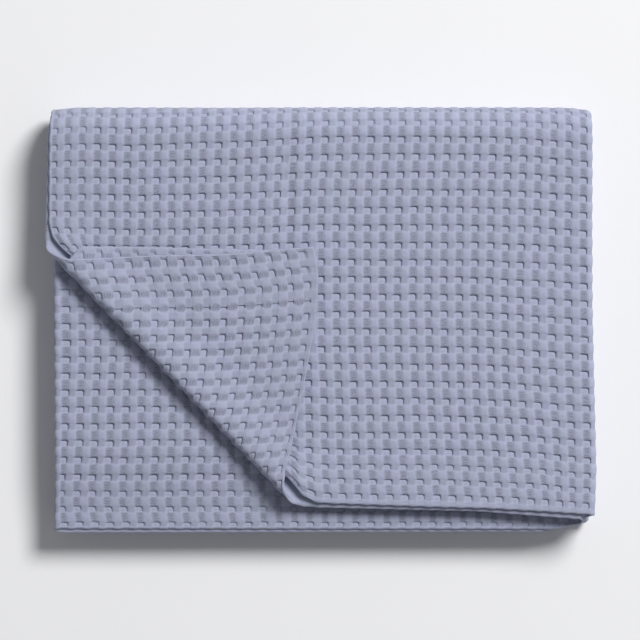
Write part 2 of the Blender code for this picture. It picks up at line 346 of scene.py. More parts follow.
VIEW_WIDTH = 0.499  # of what the camera sees, at the height of the top ply
VIEW_CENTRE = (-0.0005, -0.0002)
VIEW_LEVEL, CAMERA_HEIGHT = 0.036, 4.0
SENSOR_WIDTH = 36.0
LAMP_TARGET = (0.0, 0.0, 0.03)
FLOOR_HALF = 2.5


def smooth(value):
    """0 below 0, 1 above 1, with a soft step between."""
    t = np.clip(value, 0.0, 1.0)
    return t * t * (3.0 - 2.0 * t)


def starts(runs, gauge):
    """Where each run and fold begins, as a length along the cloth, and where the last one ends."""
    found = [0.0]
    for index, (_, start, end, level) in enumerate(runs):
        found.append(found[-1] + abs(end - start))
        if index + 1 < len(runs):
            radius = abs(level - runs[index + 1][3]) * PITCH / 2
            found.append(found[-1] + math.pi * (radius + gauge))
    return np.array(found)


SIDE_STARTS = starts(SIDE_RUNS, 0.0)
END_STARTS = starts(END_RUNS, OUTER_PLY_OFFSET)
CLOTH_LENGTH = END_STARTS[-1]


def length_at(runs, marks, name, place):
    """The length along the cloth of a place on a named run."""
    index = [run[0] for run in runs].index(name)
    start, end = runs[index][1:3]
    return marks[2 * index] + (place - start) * (1 if end > start else -1)


def column(table, number):
    return [row[number] for row in table]


def read(table, place, number=1):
    """The value in a column of a table, in between its rows, for places in its first column."""
    return np.interp(place, column(table, 0), column(table, number))


def eased(place, stations, values, outside):
    """The value at each place, changing from station to station half softly and half straight."""
    found = outside
    for n in range(len(stations) - 1):
        share = (place - stations[n]) / (stations[n + 1] - stations[n])
        here = (share >= 0) & (share <= 1)
        share = smooth(share) * 0.5 + share * 0.5
        found = np.where(here, values[n] * (1 - share) + values[n + 1] * share, found)
    return found


SHIFT_MARKS = [length_at(SIDE_RUNS, SIDE_STARTS, row[0], row[1]) for row in ROW_SHIFTS]
FAR_MARKS = [length_at(SIDE_RUNS, SIDE_STARTS, row[0], row[1]) for row in FAR_SETBACKS]
STRAY_MARKS = [length_at(END_RUNS, END_STARTS, row[0], row[1]) for row in SIDE_STRAY]


def follow(runs, marks, gauge, length, offset):
    """Which run or fold each point is on, its place and its level, at this offset from the middle."""
    part = np.clip(np.searchsorted(marks, length, side="right") - 1, 0, len(marks) - 2)
    run = part // 2
    start = np.array(column(runs, 1))[run]
    end = np.array(column(runs, 2))[run]
    level = np.array(column(runs, 3))[run] * PITCH
    next_level = np.array(column(runs, 3))[np.minimum(run + 1, len(runs) - 1)] * PITCH
    way = np.sign(end - start)
    face = np.where(run % 2 == 0, 1, -1)
    along = length - marks[part]
    centre = (level + next_level) / 2
    side = np.where(level > centre, 1, -1)
    radius = np.abs(level - centre)
    angle = along / np.maximum(radius + gauge, TIGHT_REACH)
    reach = np.maximum(radius + face * side * offset, TIGHT_REACH)
    in_fold = part % 2 == 1
    place = np.where(in_fold, end + way * reach * np.sin(angle), start + way * along)
    height = np.where(in_fold, centre + side * reach * np.cos(angle), level + face * offset)
    return part, place, height


def waver(a, b, seed):
    """A smooth uneven field over the cells, about -1 to 1: a sum of four waves that cross each other."""
    total = np.zeros(np.shape(a))
    for wave in range(1, 5):
        way = 2.4 * wave + 1.7 * seed
        pace = 0.16 + 0.21 * wave
        total = total + np.sin(pace * (a * math.cos(way) + b * math.sin(way)) + 5.1 * wave + seed)
    return total / 3


def row_length(a, b):
    """s of each point: its row's distance from the near edge, and how far that row stands back there."""
    u = read(COLUMN_MARKS, a)
    far_end = CLOTH_LENGTH - ROW_MARKS[-1][1]
    values = [np.interp(u, SHIFT_MARKS, column(ROW_SHIFTS, 2 + n)) for n in range(len(SHIFT_ROWS))]
    values.append(np.full(np.shape(u), far_end * INNER_SHARE))
    values.append(far_end - np.interp(u, FAR_MARKS, column(FAR_SETBACKS, 2)))
    stations = (*SHIFT_ROWS, INNER_ROW, ROWS - 0.5)
    return read(ROW_MARKS, b) + eased(b, stations, values, np.zeros(np.shape(u)))


def folded(u, s, w):
    """The points of the stack before its corner is turned back, and which run or fold each is on."""
    ply, x, across = follow(SIDE_RUNS, SIDE_STARTS, 0.0, u, w)
    section, y, z = follow(END_RUNS, END_STARTS, OUTER_PLY_OFFSET, s, across)
    share = np.clip((x - LEFT_FOLD_X) / (RIGHT_OUTER_X - LEFT_FOLD_X), 0.0, 1.0)
    left, right, free_a, free_b = (np.interp(s, STRAY_MARKS, column(SIDE_STRAY, 2 + n)) for n in range(4))
    stray = left * (1 - share) + right * share
    stray = stray + np.where(ply == PLY_A, free_a, 0.0) * (1 - share)
    stray = stray + np.where(ply == PLY_B, free_b, 0.0) * (1 - share)
    flat_y = NEAR_EDGE_Y + s
    stations = (FREE_EDGE_X, *COLUMN_STRAY_X, RIGHT_OUTER_X)
    values = (left + free_a, read(COLUMN_STRAY, flat_y, 1), read(COLUMN_STRAY, flat_y, 2), right)
    top_stray = eased(x, stations, values, stray)
    top_share = 1 - smooth((flat_y - COLUMN_STRAY_TO) / COLUMN_STRAY_FADE)
    is_top_ply = (ply == PLY_A) & (section <= BACK_FOLD)
    stray = np.where(is_top_ply, top_stray * top_share + stray * (1 - top_share), stray)
    bare = read(BARE_STRAY, y) * smooth((BARE_TO_X - x) / BARE_FADE)
    bare = bare * smooth((x - LEFT_FOLD_X) / BARE_FOLD_FADE)
    stray = stray + np.where((ply == PLY_C) & (section == TOP), bare, 0.0)
    dent = read(EDGE_DENT, flat_y) * (1 - smooth((x - FREE_EDGE_X) / EDGE_DENT_WIDTH))
    stray = stray + np.where((ply == PLY_A) & (section == TOP), dent, 0.0)
    x = x + stray
    corner = smooth((np.abs(x) - CORNER_START_X) / CORNER_LENGTH)
    y = y - CORNER_DEPTH * corner * smooth((y - CORNER_FROM_Y) / (BACK_FOLD_Y - CORNER_FROM_Y))
    return np.stack((x, y, z), axis=-1), ply, section


def roll_frame():
    """A point on the roll's axis and the direction, square to it, in which the corner lay."""
    along = (ROLL_NEAR_POINT - ROLL_SIDE_POINT).normalized()
    outward = Vector((along.y, -along.x))
    outside = ROLL_RADIUS + PITCH + THICKNESS / 2
    return np.array(ROLL_SIDE_POINT - outward * outside), np.array(outward)


def roll_distance(points):
    """How far each point of the flat corner lies beyond the roll's axis."""
    axis_point, outward = roll_frame()
    return (points[..., :2] - axis_point) @ outward


def rolled(points, ply, section):
    """The points after the corner of plies A and B in the top section is turned back, and how far round."""
    upper = ply == PLY_A
    distance = roll_distance(points)
    turned = (section == TOP) & (upper | (ply == PLY_B)) & (distance > 0)
    middle = np.where(upper, UPPER_PLY_LEVEL, SECOND_PLY_LEVEL)
    radius = np.where(upper, ROLL_RADIUS, ROLL_RADIUS + PITCH)
    reach = radius - (points[..., 2] - middle)
    angle = np.minimum(distance / radius, math.pi)
    back = np.maximum(distance - math.pi * radius, 0.0)
    height = UPPER_PLY_LEVEL + ROLL_RADIUS - reach * np.cos(angle)
    height = height - (2 * ROLL_RADIUS - PITCH) * smooth(back / SETTLE_LENGTH)
    shift = reach * np.sin(angle) - back - distance
    flat = points[..., :2] + roll_frame()[1] * shift[..., None]
    moved = np.concatenate((flat, height[..., None]), axis=-1)
    return np.where(turned[..., None], moved, points), np.where(turned, angle / math.pi, 0.0)


def crease_depth(x, y):
    """How deep the soft creases are at each point, as a share of the height there."""
    total = np.zeros(np.shape(x))
    for x0, y0, x1, y1, half_width, depth in CREASES:
        along = np.clip((y0 - y) / (y0 - y1), 0.0, 1.0)
        line = x0 + (x1 - x0) * along + CREASE_SWAY * np.sin(CREASE_PACE * y)
        fade = smooth((y - y1) / CREASE_FADE)
        total = total + depth * fade * np.exp(-(((x - line) / half_width) ** 2))
    return total


def edge_lift(points, a, b):
    """How far ply A stands up beside the ends of the roll, for points of it that aren't turned back."""
    inside = np.minimum(a, b) + 0.5
    total = np.zeros(np.shape(a))
    for x, y, reach, lift, bend in EDGE_LIFTS:
        near = np.exp(-((points[..., 0] - x) ** 2 + (points[..., 1] - y) ** 2) / (2 * reach**2))
        total = total + near * (lift - bend * (1 - smooth(inside / EDGE_BEND_CELLS)))
    return total


def settled(points, u, section, turn, raised):
    """The points lowered onto the floor and centred, the stack pressed a little along three sides."""
    x, y, z = points[..., 0], points[..., 1], points[..., 2]
    over_c = np.clip(follow(SIDE_RUNS, SIDE_STARTS, 0.0, u, 0.0 * u)[2] / PITCH + 0.5, 0.0, 2.0)
    over_c = over_c + (2 - over_c) * turn
    over_c = np.where(section == TOP, over_c, 0.0)
    front = smooth((-y - FRONT_FROM) / FRONT_LENGTH)
    lift = FRONT_LIFT_B * np.minimum(over_c, 1) + (FRONT_LIFT_A - FRONT_LIFT_B) * np.maximum(over_c - 1, 0)
    sag = FRONT_SAG * (1 - np.minimum(over_c, 1)) * np.clip(z / STRIP_MIDDLE_LEVEL, 0, 1)
    z = z + (lift - sag) * front + raised * (turn == 0)
    side = smooth((np.abs(x) - SIDE_DROP_FROM) / SIDE_DROP_LENGTH)
    near = smooth((-y - NEAR_DROP_FROM) / NEAR_DROP_LENGTH)
    height = (z - (PITCH - THICKNESS) / 2) * (1 - EDGE_DROP * np.maximum(side, near))
    uneven = UNEVEN_HEIGHT * waver(x * UNEVEN_PACE, y * UNEVEN_PACE, 3)
    height = height * (1 - crease_depth(x, y) + uneven)
    return np.stack((x - STACK_MIDDLE_X, y, np.maximum(height, FLOOR_GAP)), axis=-1)


def from_edge(a, b):
    """How many cells each point is from the nearest edge of the cloth."""
    return np.minimum(np.minimum(a + 0.5, COLUMNS - 0.5 - a), np.minimum(b + 0.5, ROWS - 0.5 - b))


def hem_share(a, b):
    """1 in the hem, where the cloth is doubled, and 0 elsewhere."""
    return 1 - smooth((from_edge(a, b) - HEM_CELLS) / HEM_FADE)


def cell_variation():
    """An uneven depth for each pocket, as a share, and how far its outline has drifted."""
    chance = np.random.default_rng(11)
    depths = chance.uniform(*DEPTH_RANGE, (COLUMNS, ROWS))
    depths[STRETCHED_COLUMN, :STRETCHED_ROWS] *= STRETCH
    return depths, chance.uniform(*DRIFT_RANGE, (2, COLUMNS, ROWS))


POCKET_DEPTHS, POCKET_DRIFT = cell_variation()


def turned_rows():
    """For each row, whether its cell at the free edge of A is turned right over, so that its back shows."""
    rows = np.arange(ROWS, dtype=float)
    u = np.full(ROWS, COLUMN_MARKS[1][1])
    points, _, section = folded(u, row_length(0.0 * rows, rows), 0.0 * rows)
    return (section == TOP) & (roll_distance(points) > math.pi * ROLL_RADIUS)


TURNED_ROWS = turned_rows()


def is_turned_hem(a, b, columns=1):
    """Whether a point is in the first columns of a row that is turned right over."""
    j = np.clip(np.floor(b + 0.5).astype(int), 0, ROWS - 1)
    return (a < columns - 0.5) & TURNED_ROWS[j]


def dip(across, along, lean_a, lean_b, bulge):
    """How deep a pocket's floor is, as a share of its deepest place, near the two walls that it leans to."""
    towards = np.maximum(across * lean_a / POCKET_HALF_WIDTH, along * lean_b / POCKET_HALF_LENGTH)
    return bulge + (1 - bulge) * smooth((towards - DIP_FROM) / DIP_LENGTH)


def relief(a, b, cloth):
    """The height of the face over the middle of the cloth, each point's place, moved onto its pocket's
    rounded outline, and the height of the back."""
    i = np.clip(np.floor(a + 0.5).astype(int), 0, COLUMNS - 1)
    j = np.clip(np.floor(b + 0.5).astype(int), 0, ROWS - 1)
    across, along = a - i, b - j
    hem = hem_share(i, j)
    wide, long = np.abs(across) / POCKET_HALF_WIDTH, np.abs(along) / POCKET_HALF_LENGTH
    ring = np.maximum(wide, long)
    wall = smooth((ring - WALL_FROM) / (WALL_TO - WALL_FROM))
    band = smooth((np.abs(across) - BAND_FROM) / BAND_LENGTH)
    pillow = sum(part * smooth((np.abs(along) - start) / reach) for part, start, reach in PILLOW_RISES)
    ladder_top = cloth.ladder_height + HEM_LADDER * hem
    band_top = cloth.band_height + HEM_BAND * hem
    pillow_top = cloth.pillow_height + HEM_PILLOW * hem
    outside = ladder_top + band * (band_top - ladder_top + (pillow_top - band_top) * pillow)
    depth = cloth.pocket_depth * POCKET_DEPTHS[i, j] * (1 - HEM_SHALLOWNESS * hem)
    turned_hem = is_turned_hem(a, b)
    flipped = np.where(i >= FLIPPED_FROM, -1, 1)
    floor = -depth * dip(across, along, 1, flipped, cloth.floor_bulge) * (1 - TURNED_SHALLOWNESS * turned_hem)
    face = floor + (outside - floor) * wall
    turned_dip = dip(across, along, -1, -1, cloth.floor_bulge)
    back = BACK_HEIGHT + TURNED_DEPTH * turned_hem * (1 - wall) * turned_dip
    power = POCKET_SQUARENESS - HEM_ROUNDNESS * hem
    blunt = (wide**power + long**power) ** (1 / power)
    scale = np.where(ring > 0, ring / np.maximum(blunt, 1e-9), 1.0)
    near = 1 - smooth((ring - WALL_TO) / OUTLINE_FADE)
    scale = 1 - near * (1 - scale)
    pinch = np.where((i == PINCHED_COLUMN) & (j < PINCHED_ROWS), PINCH, 1.0)
    across_scale = 1 - near * (1 - pinch)
    drift = near[None] * POCKET_DRIFT[:, i, j]
    return face, i + across * scale * across_scale + drift[0], j + along * scale + drift[1], back


def cloth_points(a, b, layer, cloth):
    """The points of the finished blanket for these cells and layers."""
    face, moved_a, moved_b, back = relief(a, b, cloth)
    edge = cloth.edge_radius
    round_edge = math.pi * layer / BACK
    bulge = edge * np.sin(round_edge) - edge
    at_left, at_right = a <= -0.5, a >= COLUMNS - 0.5
    at_near, at_far = b <= -0.5, b >= ROWS - 0.5
    front = face + cloth.yarn_height
    border = at_left | at_right | at_near | at_far
    front = np.where(border, edge * EDGE_FRONT + EDGE_WAVE * np.cos(math.tau * (a + b)), front)
    back = np.where(border, -edge * EDGE_BACK, back)
    share = (1 - np.cos(round_edge)) / 2
    w = front * (1 - share) + back * share
    is_face = layer == FRONT
    on_hem_back = (layer == BACK) & is_turned_hem(a, b)
    # The shift rises in the first column and dies out in the second
    inwards = TURNED_SHIFT * smooth((a + 0.5) / 0.35) * (1 - smooth((a - 0.3) / 1.2))
    inwards = inwards * ((layer == BACK) & is_turned_hem(a, b, 2))
    a_used = np.where(is_face | on_hem_back, moved_a, a) + inwards
    b_used = np.where(is_face | on_hem_back, moved_b, b)
    sway_u = cloth.unevenness * waver(a_used, b_used, 1)
    sway_s = cloth.unevenness * waver(a_used, b_used, 2)
    u = read(COLUMN_MARKS, a_used)
    s = row_length(a_used, b_used)
    inner_u = smooth((a_used + 0.5) / 2) * smooth((COLUMNS - 0.5 - a_used) / 2)
    inner_s = smooth((b_used + 0.5) / 2) * smooth((ROWS - 0.5 - b_used) / 2)
    way_u, way_s = at_left * 1.0 - at_right, at_near * 1.0 - at_far
    u = u + sway_u * inner_u - bulge * way_u
    s = s + sway_s * inner_s - bulge * way_s
    u = u + EDGE_SCALLOP * np.cos(math.tau * b) * way_u
    s = s + EDGE_SCALLOP * np.cos(math.tau * a) * way_s
    points, ply, section = folded(u, s, w)
    raised = np.where((ply == PLY_A) & (section == TOP), edge_lift(points, a, b), 0.0)
    points, turn = rolled(points, ply, section)
    return settled(points, u, section, turn, raised)


def cell_levels():
    """How finely each cell is made: on its face across and along it, and on its back."""
    i, j = np.meshgrid(np.arange(COLUMNS), np.arange(ROWS), indexing="ij")
    s = row_length(i.astype(float), j.astype(float))
    u = read(COLUMN_MARKS, i)
    points, ply, section = folded(u, s, np.zeros(np.shape(u)))
    distance = roll_distance(points)
    y = points[..., 1]
    top = section == TOP
    turned = top & (distance > ROLL_FROM)
    curved = turned & (distance < ROLL_TO)
    seen_a = (ply == PLY_A) & (section <= BACK_FOLD) & (distance < ROLL_TO)
    seen_b = (ply == PLY_B) & turned
    seen_c = (ply == PLY_C) & top & ((distance > BARE_FROM) | (y < BARE_NEAR_Y))
    seen_d = (ply == PLY_D) & top & (j == 0)
    over_back = (section == BACK_FOLD) & (y < OVER_BACK_Y) & (s > OVER_BACK_S)
    fine = (seen_a | seen_b | seen_c) & ~over_back
    free_side = (i == 0) | (i == COLUMNS - 1)
    free_end = (j == 0) | (j == ROWS - 1)
    side_fold = np.isin(i, SIDE_FOLD_COLUMNS)
    end_fold = (section % 2 == 1) | np.isin(j, END_FOLD_ROWS)
    under = (ply == PLY_A) & np.isin(section, (BACK_FOLD, BOTTOM, NEAR_FOLD))
    medium = under | seen_d
    face_a = np.where(fine | side_fold, FINE, np.where(medium | (free_end & top), MEDIUM, PLAIN))
    face_b = np.where(medium | end_fold | side_fold | free_side | free_end, MEDIUM, PLAIN)
    face_b = np.where(fine | (side_fold & top), FINE, face_b)
    bent = curved & np.isin(ply, (PLY_A, PLY_B)) | turned & (ply == PLY_A) & (free_side | free_end)
    back_a = np.where(bent | side_fold, FINE, PLAIN)
    back_b = np.where(bent, FINE, np.where(end_fold, MEDIUM, PLAIN))
    return {"face": (face_a, face_b), "back": (back_a, back_b)}


def lines_of(cell, level, picks):
    """The numbers of the lines that cross one cell at a level, up to the start of the next cell."""
    count = len(picks[FINE])
    return [cell * count + pick for pick in picks[level]] + [(cell + 1) * count]


def between(lines, start, end):
    return [line for line in lines if start < line < end]


def side_faces(levels, bounds, borders):
    """The faces of one side of the cloth, as lists of (column line, row line). A side that two cells share
    has the lines of the finer one, and borders holds the levels along the sides of the piece."""
    first_i, last_i, first_j, last_j = bounds
    levels_a, levels_b = levels
    faces = []
    for i in range(first_i, last_i + 1):
        for j in range(first_j, last_j + 1):
            own_a, own_b = levels_a[i, j], levels_b[i, j]
            near = borders["near"][i] if j == first_j else max(own_a, levels_a[i, j - 1])
            far = borders["far"][i] if j == last_j else max(own_a, levels_a[i, j + 1])
            left = borders["left"][j] if i == first_i else max(own_b, levels_b[i - 1, j])
            right = borders["right"][j] if i == last_i else max(own_b, levels_b[i + 1, j])
            xs, near, far = (lines_of(i, level, COLUMN_PICKS) for level in (own_a, near, far))
            ys, left, right = (lines_of(j, level, ROW_PICKS) for level in (own_b, left, right))
            for x0, x1 in zip(xs, xs[1:]):
                for y0, y1 in zip(ys, ys[1:]):
                    on_near = between(near, x0, x1) if y0 == ys[0] else []
                    on_right = between(right, y0, y1) if x1 == xs[-1] else []
                    on_far = between(far, x0, x1) if y1 == ys[-1] else []
                    on_left = between(left, y0, y1) if x0 == xs[0] else []
                    loop = [(x0, y0), *((x, y0) for x in on_near)]
                    loop += [(x1, y0), *((x1, y) for y in on_right)]
                    loop += [(x1, y1), *((x, y1) for x in reversed(on_far))]
                    loop += [(x0, y1), *((x0, y) for y in reversed(on_left))]
                    faces.append(loop)
    return faces


def border_levels(levels, bounds):
    """The level of each cell along the four sides of a piece: the finer of its two sides."""
    first_i, last_i, first_j, last_j = bounds
    face_a, face_b = levels["face"]
    back_a, back_b = levels["back"]
    across, along = np.maximum(face_a, back_a), np.maximum(face_b, back_b)
    near, far, left, right = across[:, first_j], across[:, last_j], along[first_i], along[last_i]
    return {"near": near, "far": far, "left": left, "right": right}


def side_lines(cells, levels, picks):
    """The lines along one side of a piece, with the one that ends it."""
    lines = [line for cell in cells for line in lines_of(cell, levels[cell], picks)[:-1]]
    return [*lines, (cells[-1] + 1) * len(picks[FINE])]


def rim_faces(bounds, borders):
    """The faces that join the two sides round the edges of a piece, as lists of (line, line, layer). A
    free edge of the cloth is rounded; an edge where the next piece carries on is flat."""
    first_i, last_i, first_j, last_j = bounds
    across, along = range(first_i, last_i + 1), range(first_j, last_j + 1)
    near, far = (side_lines(across, borders[side], COLUMN_PICKS) for side in ("near", "far"))
    left, right = (side_lines(along, borders[side], ROW_PICKS) for side in ("left", "right"))
    paths = (
        ([(x, left[0]) for x in near], first_j == 0),
        ([(near[-1], y) for y in right], last_i == COLUMNS - 1),
        ([(x, left[-1]) for x in reversed(far)], last_j == ROWS - 1),
        ([(near[0], y) for y in reversed(left)], first_i == 0),
    )
    free_x = {0, COLUMNS * len(COLUMN_LINES)}
    free_y = {0, ROWS * len(ROW_LINES)}
    faces = []
    for path, is_free in paths:
        for p, q in zip(path, path[1:]):
            if is_free:
                for layer in range(FRONT, BACK):
                    faces.append([(*p, layer + 1), (*q, layer + 1), (*q, layer), (*p, layer)])
                continue
            up = range(BACK - 1, FRONT, -1)
            q_side = [(*q, layer) for layer in up] if q[0] in free_x or q[1] in free_y else []
            p_side = [(*p, layer) for layer in reversed(up)] if p[0] in free_x or p[1] in free_y else []
            faces.append([(*p, BACK), (*q, BACK), *q_side, (*q, FRONT), (*p, FRONT), *p_side])
    return faces


def piece_mesh(name, bounds, cloth):
    """The closed mesh of one piece, with its cells as the map called weave."""
    levels = cell_levels()
    borders = border_levels(levels, bounds)
    loops = [[(*p, FRONT) for p in loop] for loop in side_faces(levels["face"], bounds, borders)]
    loops += [[(*p, BACK) for p in reversed(loop)] for loop in side_faces(levels["back"], bounds, borders)]
    loops += rim_faces(bounds, borders)
    width, length = len(COLUMN_LINES), len(ROW_LINES)
    corners = np.array([corner for loop in loops for corner in loop])
    row_count = ROWS * length + 1
    keys = (corners[:, 2] * (COLUMNS * width + 1) + corners[:, 0]) * row_count + corners[:, 1]
    kept, first, index = np.unique(keys, return_index=True, return_inverse=True)
    x, y, layer = corners[first].T
    a = x // width + np.array(COLUMN_LINES)[x % width]
    b = y // length + np.array(ROW_LINES)[y % length]
    points = cloth_points(a, b, layer, cloth)
    counts = [len(loop) for loop in loops]
    ends = np.cumsum(counts)
    index = index.tolist()
    faces = [index[end - count : end] for end, count in zip(ends, counts)]
    mesh = bpy.data.meshes.new(name)
    mesh.from_pydata(points.tolist(), [], faces)
    weave = mesh.uv_layers.new(name="weave")
    corner_vertices = np.empty(len(mesh.loops), dtype=np.int32)
    mesh.loops.foreach_get("vertex_index", corner_vertices)
    weave.data.foreach_set("uv", np.stack((a, b), axis=-1)[corner_vertices].astype(np.float32).ravel())
    is_face = mesh.attributes.new(name="face_side", type="FLOAT", domain="POINT")
    shown = (layer == FRONT) | (layer == BACK) & is_turned_hem(a, b)
    is_face.data.foreach_set("value", (shown * smooth((from_edge(a, b) - 0.2) / 0.2)).astype(np.float32))
    mesh.shade_smooth()
    mesh.set_sharp_from_angle(angle=math.radians(75))
    mesh.validate()
    return mesh


def add_piece(context, name):
    """Makes one piece of the blanket, gives it the cotton, hangs it under the root body and hides the solid's
    blanket.
    """
    cloth = context.scene.blanket_cloth
    row = next(row for row in PIECES if row[0] == name)
    bounds, support = row[1:5], row[5]
    piece = bpy.data.objects.new(name, piece_mesh(name, bounds, cloth))
    context.scene.collection.objects.link(piece)
    piece.data.materials.append(cotton(cloth))
    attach(piece, "root")
    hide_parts("blanket")


class Nodes:
    """Short ways to add nodes to a material."""

    def __init__(self, tree):
        self.tree = tree

    def put(self, kind, inputs=(), **settings):
        """Adds a node, with a number or a link for each input that is given."""
        node = self.tree.nodes.new(kind)
        for name, value in settings.items():
            setattr(node, name, value)
        self.fill(node, inputs)
        return node

    def fill(self, node, inputs):
        for name, value in dict(inputs).items():
            if isinstance(value, bpy.types.NodeSocket):
                self.tree.links.new(value, node.inputs[name])
            else:
                node.inputs[name].default_value = value

    def math(self, operation, *values):
        return self.put("ShaderNodeMath", enumerate(values), operation=operation).outputs[0]

    def product(self, *values):
        total = values[0]
        for value in values[1:]:
            total = self.math("MULTIPLY", total, value)
        return total

    def weighted(self, *terms, start=None):
        """The sum of values, each times its weight."""
        total = start
        for value, weight in terms:
            share = self.product(value, weight)
            total = share if total is None else self.math("ADD", total, share)
        return total

    def from_middle(self, place):
        """How far a place in cells is from the middle of its cell."""
        in_cell = self.math("FRACT", self.math("ADD", place, 0.5))
        return self.math("ABSOLUTE", self.math("SUBTRACT", in_cell, 0.5))

    def wave(self, place, bend, count):
        """A wave with so many crests in each cell, its crests bent."""
        return self.math("SINE", self.product(self.math("ADD", place, bend), math.tau * count))

    def step(self, value, low, high):
        """0 below low and 1 above high, or the other way round if low is the greater."""
        to_low, to_high = (0.0, 1.0) if low < high else (1.0, 0.0)
        inputs = {"Value": value, "From Min": min(low, high), "From Max": max(low, high)}
        inputs |= {"To Min": to_low, "To Max": to_high}
        return self.put("ShaderNodeMapRange", inputs, interpolation_type="SMOOTHSTEP").outputs["Result"]

    def noise(self, vector, scale, detail=2.0):
        inputs = {"Vector": vector, "Scale": scale, "Detail": detail}
        return self.put("ShaderNodeTexNoise", inputs).outputs["Fac"]


def cotton(cloth):
    """Matt cotton: threads across the ladders between the pockets, fine yarn, uneven dye, and painted shade:
    the colour is darker in the ladders, between their threads and beside the pockets, and has a painted
    highlight on the pillows.
    """
    found = bpy.data.materials.get("waffle_cotton")
    if found:
        return found
    material = bpy.data.materials.new("waffle_cotton")
    material.use_nodes = True
    nodes = Nodes(material.node_tree)
    weave = nodes.put("ShaderNodeUVMap", uv_map="weave").outputs["UV"]
    split = nodes.put("ShaderNodeSeparateXYZ", {"Vector": weave})
    a, b = split.outputs["X"], split.outputs["Y"]
    across, along = nodes.from_middle(a), nodes.from_middle(b)
    side = nodes.put("ShaderNodeAttribute", attribute_name="face_side").outputs["Fac"]
    in_column, off_column = nodes.step(across, 0.27, 0.08), nodes.step(across, 0.20, 0.30)
    in_row = nodes.step(along, 0.28, 0.12)
    off_row = nodes.math("SUBTRACT", 1.0, in_row)
    ladder = nodes.product(in_column, off_row, side)
    beside = nodes.product(off_column, in_row, side)
    pillow = nodes.product(off_column, off_row, side)
    bend = nodes.product(nodes.math("SUBTRACT", nodes.noise(weave, 2.6, 5.0), 0.5), 0.55)
    threads = nodes.product(nodes.wave(b, bend, 6.5), 0.5)
    threads = nodes.product(nodes.math("ADD", threads, 0.5), ladder)
    yarn = nodes.product(nodes.wave(a, bend, 17.0), nodes.wave(b, bend, 19.0))
    place = nodes.put("ShaderNodeTexCoord").outputs["Object"]
    fuzz, grain = nodes.noise(place, 1700.0, 3.0), nodes.noise(place, 620.0)
    height = nodes.weighted((threads, 0.35), (yarn, 0.14), (fuzz, 0.55), (grain, 0.35))
    relief_inputs = {"Strength": 1.0, "Distance": cloth.thread_relief, "Height": height}

    # Painted shade: the colour is darker in the ladders, between their threads and beside the pockets, and it
    # has a painted highlight on the raised pillows
    between_threads = nodes.math("SUBTRACT", ladder, threads)
    painted_shade_and_highlight = nodes.weighted((between_threads, 0.21), (ladder, 0.145), (beside, 0.07), (pillow, -0.085))
    fuzz_off, grain_off = nodes.math("SUBTRACT", fuzz, 0.5), nodes.math("SUBTRACT", grain, 0.5)
    shade = nodes.math("SUBTRACT", 1.06, painted_shade_and_highlight)
    shade = nodes.weighted((fuzz_off, -0.26), (grain_off, -0.24), start=shade)
    dyes = {"A": (*cloth.colour_cool, 1.0), "B": (*cloth.colour_warm, 1.0)}
    dyes["Factor"] = nodes.step(nodes.noise(weave, 0.55), 0.40, 0.62)
    tone = nodes.put("ShaderNodeMix", dyes, data_type="RGBA").outputs["Result"]
    shaded = nodes.put("ShaderNodeVectorMath", {"Vector": tone, "Scale": shade}, operation="SCALE")
    finish = {
        "Base Color": shaded.outputs["Vector"],
        "Normal": nodes.put("ShaderNodeBump", relief_inputs).outputs["Normal"],
        "Roughness": 0.95,
        "Specular IOR Level": 0.20,
        "Sheen Weight": 0.12,
        "Sheen Roughness": 0.5,
    }
    nodes.fill(nodes.tree.nodes["Principled BSDF"], finish)
    return material


def floor_material(stage):
    material = bpy.data.materials.new("floor_pale")
    material.use_nodes = True
    shader = material.node_tree.nodes["Principled BSDF"]
    shader.inputs["Base Color"].default_value = (*stage.floor_colour, 1.0)
    shader.inputs["Roughness"].default_value = 0.9
    return material


def aim(obj, target):
    """Turns a lamp or camera to look at a point."""
    way = Vector(target) - obj.location
    obj.rotation_euler = way.to_track_quat("-Z", "Y").to_euler()


def add_stage(context):
    """A pale floor, a soft lamp to the upper right, light from all round, and the camera overhead."""
    stage = context.scene.blanket_stage
    scene = context.scene
    mesh = bpy.data.meshes.new("floor")
    corners = [(x * FLOOR_HALF, y * FLOOR_HALF, 0) for x, y in ((-1, -1), (1, -1), (1, 1), (-1, 1))]
    mesh.from_pydata(corners, [], [(0, 1, 2, 3)])
    mesh.materials.append(floor_material(stage))
    floor = bpy.data.objects.new("floor", mesh)
    lamp_data = bpy.data.lights.new("key", "AREA")
    lamp_data.shape = "DISK"
    lamp_data.size = stage.key_size
    lamp_data.energy = stage.key_power
    lamp = bpy.data.objects.new("key", lamp_data)
    lift, turn = stage.key_elevation, stage.key_azimuth
    reach = stage.key_distance
    lamp.location = (
        reach * math.cos(lift) * math.cos(turn),
        reach * math.cos(lift) * math.sin(turn),
        reach * math.sin(lift),
    )
    aim(lamp, LAMP_TARGET)
    camera_data = bpy.data.cameras.new("camera")
    camera_data.sensor_width = SENSOR_WIDTH
    camera_data.lens = SENSOR_WIDTH * CAMERA_HEIGHT / VIEW_WIDTH
    camera_data.clip_end = 20.0
    camera = bpy.data.objects.new("camera", camera_data)
    camera.location = (*VIEW_CENTRE, VIEW_LEVEL + CAMERA_HEIGHT)
    for obj in (floor, lamp, camera):
        scene.collection.objects.link(obj)
    scene.camera = camera
    world = bpy.data.worlds.new("studio")
    world.use_nodes = True
    background = world.node_tree.nodes["Background"]
    background.inputs["Color"].default_value = (*stage.fill_colour, 1.0)
    background.inputs["Strength"].default_value = stage.fill_strength
    scene.world = world
    scene.view_settings.view_transform = "Standard"
    scene.view_settings.look = "None"


